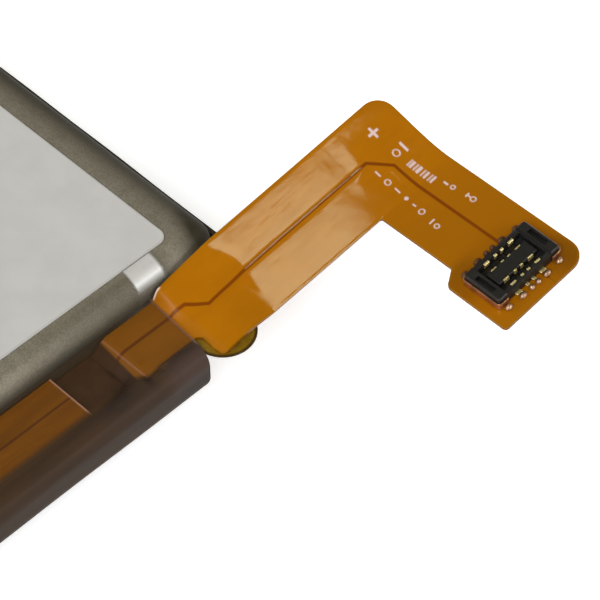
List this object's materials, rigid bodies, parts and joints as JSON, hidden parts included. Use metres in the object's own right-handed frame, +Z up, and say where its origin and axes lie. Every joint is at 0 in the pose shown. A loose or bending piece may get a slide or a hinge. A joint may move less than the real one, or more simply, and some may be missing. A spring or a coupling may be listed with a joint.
{
  "type": "mobile phone battery",
  "caption": "Flat lithium pouch cell with a plain label, a protection board under a smoky end wrap and a bent L-shaped flex tail ending in a small board socket.",
  "frame": {"origin": "middle of the cell's flat underside", "axes": "+X along the pack to the terminal end, +Y to the side where the flex tail leaves, +Z up through the label"},
  "size_m": [0.0961, 0.0717, 0.0059],
  "materials": {
    "warm_grey_foil": "brushed laminate foil, semi-gloss",
    "dark_grey_foil": "satin laminate foil",
    "pale_grey_label": "satin coated label, left plain",
    "smoky_film": "gloss smoky brown film",
    "clear_tape": "gloss clear tape",
    "board_resin": "dark green satin resin board",
    "copper": "bright copper foil",
    "amber_film": "gloss amber polyimide film",
    "brown_tape": "matte brown tape",
    "black_epoxy": "matte moulded epoxy",
    "tan_ceramic": "satin ceramic",
    "nickel": "bright nickel strip",
    "aluminium_tab": "satin foil strip",
    "white_sealant": "milky heat-seal film",
    "olive_film": "gloss olive film",
    "olive_resin": "satin glass-resin stiffener",
    "black_moulding": "satin moulded resin",
    "gold_plate": "polished gold plating",
    "tin_solder": "dull tin",
    "tinned_bronze": "satin tinned bronze"
  },
  "bodies": {
    "root": {"board_conductor_inner": "copper", "board_conductor_outer": "copper", "board_coverlay": "amber_film", "bypass_capacitor": "tan_ceramic", "clear_tape_strip": "clear_tape", "contact_power_a_back": "gold_plate", "contact_power_a_front": "gold_plate", "contact_power_b_back": "gold_plate", "contact_power_b_front": "gold_plate", "contact_signal_a_back": "gold_plate", "contact_signal_a_front": "gold_plate", "contact_signal_b_back": "gold_plate", "contact_signal_b_front": "gold_plate", "control_chip": "black_epoxy", "end_wrap_film": "smoky_film", "filter_capacitor": "tan_ceramic", "flex_base_film": "amber_film", "flex_conductor_inner": "copper", "flex_conductor_outer": "copper", "flex_cover_film": "amber_film", "folded_seal_flex_side": "dark_grey_foil", "folded_seal_plain_side": "dark_grey_foil", "joint_cover_tape": "brown_tape", "label": "pale_grey_label", "negative_tab": "nickel", "negative_tab_collar": "white_sealant", "negative_weld_plate": "nickel", "positive_tab": "aluminium_tab", "positive_tab_collar": "white_sealant", "positive_weld_plate": "nickel", "pouch_cell": "warm_grey_foil", "protection_board": "board_resin", "retaining_film_tongue": "olive_film", "sense_resistor": "black_epoxy", "socket_holder_far": "tinned_bronze", "socket_holder_near": "tinned_bronze", "socket_housing": "black_moulding", "socket_stiffener": "olive_resin", "solder_holder_far_back": "tin_solder", "solder_holder_far_front": "tin_solder", "solder_holder_near_back": "tin_solder", "solder_holder_near_front": "tin_solder", "solder_power_a_back": "tin_solder", "solder_power_a_front": "tin_solder", "solder_power_b_back": "tin_solder", "solder_power_b_front": "tin_solder", "solder_signal_a_back": "tin_solder", "solder_signal_a_front": "tin_solder", "solder_signal_b_back": "tin_solder", "solder_signal_b_front": "tin_solder", "switch_transistor_a": "black_epoxy", "switch_transistor_b": "black_epoxy", "temperature_sensor": "black_epoxy", "terrace_tape": "brown_tape", "thermal_fuse": "nickel"}
  },
  "joints": []
}
